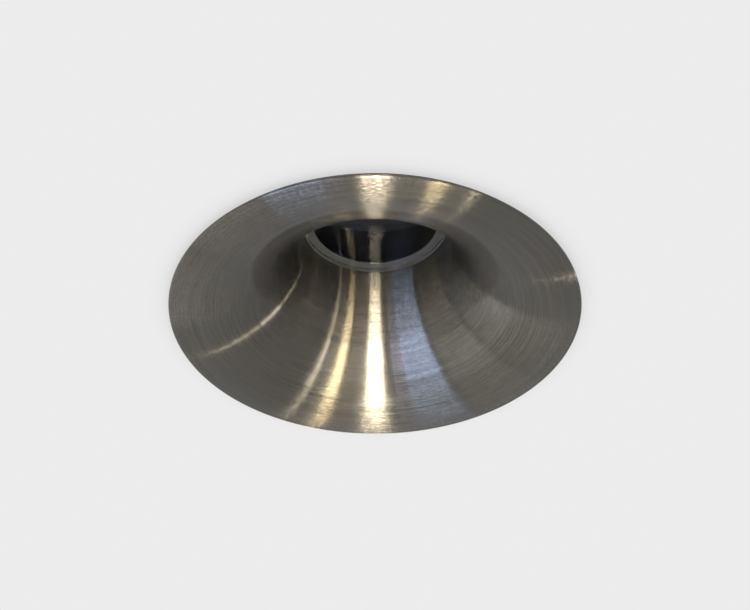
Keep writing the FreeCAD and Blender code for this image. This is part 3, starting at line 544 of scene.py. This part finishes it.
def tube(name, path, radius, sides=12):
    """A round tube along a path of points, with closed ends."""
    points, faces = [], []
    up = Vector((0, 1, 0))
    for i, here in enumerate(path):
        before, after = path[max(i - 1, 0)], path[min(i + 1, len(path) - 1)]
        along = (after - before).normalized()
        side = along.cross(up)
        side = side.normalized() if side.length > 0.1 else along.cross(Vector((1, 0, 0))).normalized()
        over = side.cross(along)
        for step in range(sides):
            angle = 2 * math.pi * step / sides
            points.append(here + side * radius * math.cos(angle) + over * radius * math.sin(angle))
    for i in range(len(path) - 1):
        here, after = i * sides, (i + 1) * sides
        for step in range(sides):
            beside = (step + 1) % sides
            faces.append((here + step, here + beside, after + beside, after + step))
    faces.append(tuple(reversed(range(sides))))
    faces.append(tuple(range((len(path) - 1) * sides, len(path) * sides)))
    return mesh_from(name, points, faces)


def spring_points():
    """The wire's centre line about its own pivot: x outward, y along the pin, z up."""
    reach = math.hypot(SPRING_MEAN, SHORT_LEG)
    first = math.pi + math.asin(PLATE_REACH / reach) - math.atan2(SPRING_MEAN, SHORT_LEG)
    last = 2 * math.pi * SPRING_TURNS + 1.5 * math.pi - ARM_DROP
    rise = SPRING_PITCH / (2 * math.pi)
    middle = rise * (last - first) / 2

    def at(angle):
        along_pin = rise * (angle - first) - middle
        return Vector((SPRING_MEAN * math.cos(angle), along_pin, SPRING_MEAN * math.sin(angle)))

    def heading(angle):
        return Vector((-math.sin(angle), rise / SPRING_MEAN, math.cos(angle))).normalized()

    path = []
    for step in range(SHORT_LEG_STEPS, 0, -1):
        path.append(at(first) - heading(first) * SHORT_LEG * step / SHORT_LEG_STEPS)
    steps = round((last - first) / math.radians(COIL_STEP))
    path += [at(first + (last - first) * step / steps) for step in range(steps + 1)]
    for step in range(1, LONG_LEG_STEPS + 1):
        path.append(at(last) + heading(last) * LONG_LEG * step / LONG_LEG_STEPS)
    return path


def build_springs(material):
    """One spring at each joint, coiled round its pin, with its long leg along the arm at rest."""
    for joint in frame["joints"]:
        number = joint["child"].split("_")[1]
        pivot = Vector(joint["pos_m"])
        outward = Vector((pivot.x, pivot.y, 0)).normalized()
        place = Matrix.Translation(pivot) @ Matrix.Rotation(math.atan2(outward.y, outward.x), 4, "Z")
        path = [place @ point for point in spring_points()]
        name = f"torsion_spring_{number}"
        spring = add_object(name, tube(name, path, SPRING_WIRE / 2), None)
        spring.data.materials.append(material)
        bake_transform(spring)
        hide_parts(f"clip_spring_{number}")


# ---- finishes for the CAD pieces ----

CLIPS = ("1", "2", "3")
GASKETS = ["soffit_gasket", "neck_gasket", "housing_seal", "rear_cover_seal", "gland_washer"]
SCREWS = ["collar_screws", "heat_sink_screws", "rear_cover_screws", "led_holder_screws"]
SCREWS += ["terminal_screws", "clip_screws"]


def paint(nodes, material):
    for name in nodes:
        piece = frame["nodes"][name]
        piece.data.materials.clear()
        piece.data.materials.append(material)
        for polygon in piece.data.polygons:
            polygon.material_index = 0


def paint_clips():
    strip = drawn_steel("spring_strip", (0.42, 0.415, 0.40), 0.34)
    build_springs(strip)
    paint([f"clip_arm_{n}" for n in CLIPS] + [f"clip_bracket_{n}" for n in CLIPS], strip)
    paint([f"clip_tip_{n}" for n in CLIPS], rubber("tip_rubber", (0.03, 0.03, 0.032)))
    bright = drawn_steel("screw_steel", (0.55, 0.54, 0.53), 0.26)
    paint(SCREWS + [f"clip_pin_{n}" for n in CLIPS], bright)


def paint_led():
    paint(["thermal_pad"], rubber("heat_pad", (0.2, 0.23, 0.3)))
    paint(["led_board"], plastic("ceramic_board", (0.82, 0.82, 0.79), 0.5))
    paint(["led_phosphor"], plastic("phosphor", (0.72, 0.58, 0.12), 0.35))
    paint(["led_holder"], plastic("white_holder", (0.8, 0.8, 0.78), 0.4))
    paint(["led_lead_positive"], plastic("red_lead", (0.5, 0.02, 0.02), 0.35))
    paint(["led_lead_negative"], plastic("black_lead", (0.02, 0.02, 0.02), 0.35))
    paint(["terminal_block"], plastic("terminal_green", (0.08, 0.22, 0.12), 0.45))


def build_all():
    build_flare(spun_steel())
    smoky = mirror_coat("smoky_mirror", (0.045, 0.052, 0.068), 0.06)
    ring_grey = plastic("reflector_flange", (0.022, 0.023, 0.025), 0.5)
    build_reflector(smoky, ring_grey)
    paint_clips()
    build_glass(clear_glass())
    build_lens_seal(rubber("seal_black", (0.012, 0.012, 0.013), 0.7))
    paint(GASKETS, rubber("black_silicone", (0.028, 0.028, 0.03)))
    paint(["gland_seal"], rubber("grey_silicone", (0.2, 0.2, 0.2)))
    paint(["mounting_collar", "lamp_housing"], cast_metal("blasted_aluminium", (0.52, 0.52, 0.53), 0.46))
    paint(["heat_sink", "rear_cover"], cast_metal("black_anodised", (0.045, 0.046, 0.05), 0.42, 0.6))
    paint_led()
    paint(["gland_locknut", "gland_body", "gland_nut"], plastic("black_nylon", (0.03, 0.03, 0.033), 0.4))


# ---- stage, light and camera ----

BACKGROUND = 0.838
ROOM = 0.5
FLOOR_Z = -2.4
FLOOR_REACH = 12.0
SOFFIT_HOLE = 65 * MM
SOFFIT_REACH = 3.0
SOFFIT_Z = 0.02 * MM
SOFFIT_TURNS = 128
LIGHT_AWAY = 2.0
LAMP_TILT = 10
VIEW_FLAT = math.cos(CAMERA_BELOW)
VIEW_DOWN = math.sin(CAMERA_BELOW)


def build_floor():
    reach = FLOOR_REACH
    corners = [(-reach, -reach), (reach, -reach), (reach, reach), (-reach, reach)]
    floor = mesh_from("floor", [(x, y, FLOOR_Z) for x, y in corners], [(0, 1, 2, 3)])
    floor.materials.append(glow_backdrop("pale_floor", BACKGROUND, True))
    floor = add_object("floor", floor, None)


def build_soffit():
    """The soffit board's underside, with the lamp's cut-out in it."""
    turns = SOFFIT_TURNS
    points = []
    for radius in (SOFFIT_HOLE, SOFFIT_REACH):
        for step in range(turns):
            angle = 2 * math.pi * step / turns
            points.append((radius * math.cos(angle), radius * math.sin(angle), SOFFIT_Z))
    faces = [(s, (s + 1) % turns, turns + (s + 1) % turns, turns + s) for s in range(turns)]
    board = mesh_from("soffit_board", points, faces)
    board.materials.append(glow_backdrop("pale_soffit", BACKGROUND, False))
    board = add_object("soffit_board", board, None)


def build_world():
    """Shows the background's colour to the camera, metal and glass, and lights the rest softly."""
    world = bpy.data.worlds.new("studio")
    bpy.context.scene.world = world
    world.use_nodes = True
    tree = world.node_tree
    tree.nodes.clear()
    output = tree.nodes.new("ShaderNodeOutputWorld")
    paths = tree.nodes.new("ShaderNodeLightPath")
    shown = tree.nodes.new("ShaderNodeBackground")
    shown.inputs["Color"].default_value = (BACKGROUND, BACKGROUND, BACKGROUND, 1)
    room = tree.nodes.new("ShaderNodeBackground")
    room.inputs["Color"].default_value = (ROOM, ROOM, ROOM, 1)
    mix = tree.nodes.new("ShaderNodeMixShader")
    glossy = tree.nodes.new("ShaderNodeMath")
    glossy.operation = "MAXIMUM"
    tree.links.new(paths.outputs["Is Glossy Ray"], glossy.inputs[0])
    tree.links.new(paths.outputs["Is Transmission Ray"], glossy.inputs[1])
    either = tree.nodes.new("ShaderNodeMath")
    either.operation = "MAXIMUM"
    tree.links.new(paths.outputs["Is Camera Ray"], either.inputs[0])
    tree.links.new(glossy.outputs[0], either.inputs[1])
    tree.links.new(either.outputs[0], mix.inputs["Fac"])
    tree.links.new(room.outputs[0], mix.inputs[1])
    tree.links.new(shown.outputs[0], mix.inputs[2])
    tree.links.new(mix.outputs[0], output.inputs["Surface"])


def area_light(name, place, aim, wide, long, radiance, tint, long_axis):
    """A soft rectangular lamp of a given surface brightness."""
    data = bpy.data.lights.new(name, "AREA")
    data.shape = "RECTANGLE"
    data.size = wide
    data.size_y = long
    data.energy = radiance * math.pi * wide * long
    data.color = tint
    lamp = bpy.data.objects.new(name, data)
    bpy.context.scene.collection.objects.link(lamp)
    away = (place - aim).normalized()
    along = (long_axis - away * long_axis.dot(away)).normalized()
    across = along.cross(away)
    lamp.matrix_world = Matrix.Translation(place) @ Matrix((across, along, away)).transposed().to_4x4()
    lamp.visible_camera = False


def mirrored(azimuth, tilt):
    """Where the camera's middle ray goes from the flare, at an azimuth and slope in degrees.

    The slope is 0 on the flat lip and 90 in the neck.
    """
    turn, slope = math.radians(azimuth), math.radians(tilt)
    outward = Vector((math.cos(turn), math.sin(turn), 0))
    normal = -outward * math.sin(slope) - Vector((0, 0, math.cos(slope)))
    look = Vector((0, VIEW_FLAT, VIEW_DOWN))
    return look - 2 * look.dot(normal) * normal


def streak_lamps(name, azimuth, spread, tilts, radiance, tint):
    """Strip lamps that the brushed flare draws into one radial streak.

    The streak lies at an azimuth and is spread degrees wide. Each lamp covers about
    LAMP_TILT degrees of the flare's slope, between the two tilts.
    """
    start, end = tilts
    pieces = max(1, round((end - start) / LAMP_TILT))
    step = (end - start) / pieces
    for piece in range(pieces):
        low, high = start + step * piece, start + step * (piece + 1)
        along = mirrored(azimuth, high) - mirrored(azimuth, low)
        middle = (low + high) / 2
        across = mirrored(azimuth + spread / 2, middle) - mirrored(azimuth - spread / 2, middle)
        place = mirrored(azimuth, middle) * LIGHT_AWAY
        wide, long = across.length * LIGHT_AWAY, along.length * LIGHT_AWAY
        area_light(f"{name}_{piece}", place, Vector(), wide, long, radiance, tint, along)


CREAM = (1.0, 0.90, 0.72)
AMBER = (1.0, 0.84, 0.54)
BROWN = (1.0, 0.86, 0.74)
PALE_BROWN = (1.0, 0.88, 0.78)
WHITE = (1.0, 0.98, 0.95)
SKY = (0.50, 0.64, 1.0)
PALE_SKY = (0.72, 0.72, 1.0)
BODY_MIDDLE = Vector((0, 0, 0.05))
KEY_PLACE = Vector((0.9, 1.1, 1.4))
KEY_SIDE = 0.9
FILL_PLACE = Vector((-1.3, -1.2, 0.9))
FILL_SIDE = 1.2
UPWARD = Vector((0, 0, 1))


def build_lights():
    """Strip lamps for the streaks and tints in the flare, and two soft lamps over the body."""
    streak_lamps("middle", 90, 7.6, (15, 40), 26.0, CREAM)
    streak_lamps("middle_high", 90, 8.0, (40, 54), 52.0, CREAM)
    streak_lamps("middle_hot", 90, 1.6, (35, 40), 70.0, WHITE)
    streak_lamps("wide", 107.7, 4.4, (18, 50), 27.0, AMBER)
    streak_lamps("thin", 117.8, 1.5, (22, 50), 22.0, CREAM)
    streak_lamps("left", 160.7, 1.3, (34, 50), 24.0, CREAM)
    streak_lamps("sky", 67, 17, (30, 56), 9.0, SKY)
    streak_lamps("sky_edge", 78, 7, (34, 52), 6.0, PALE_SKY)
    streak_lamps("haze_near", 44, 26, (24, 46), 1.8, WHITE)
    streak_lamps("haze_far", 16, 30, (24, 46), 1.5, WHITE)
    streak_lamps("brown", 99, 9, (30, 50), 3.4, BROWN)
    streak_lamps("brown_left", 113, 4, (30, 50), 2.6, PALE_BROWN)
    area_light("key", KEY_PLACE, BODY_MIDDLE, KEY_SIDE, KEY_SIDE, 4.2, WHITE, UPWARD)
    area_light("fill", FILL_PLACE, BODY_MIDDLE, FILL_SIDE, FILL_SIDE, 2.5, WHITE, UPWARD)


def build_camera():
    data = bpy.data.cameras.new("camera")
    data.sensor_width = 36
    data.lens = LENS
    data.shift_y = SHIFT_UP
    data.clip_start = 0.01
    camera = bpy.data.objects.new("camera", data)
    bpy.context.scene.collection.objects.link(camera)
    look = Vector((0, VIEW_FLAT, VIEW_DOWN))
    up = Vector((0, -VIEW_DOWN, VIEW_FLAT))
    right = Vector((1, 0, 0))
    place = Vector((0, 0, RIM_FRONT)) - look * CAMERA_AWAY
    camera.matrix_world = Matrix.Translation(place) @ Matrix((right, up, -look)).transposed().to_4x4()
    bpy.context.scene.camera = camera


build_all()
build_floor()
build_soffit()
build_world()
build_lights()
build_camera()
bpy.context.scene.view_settings.view_transform = "Standard"
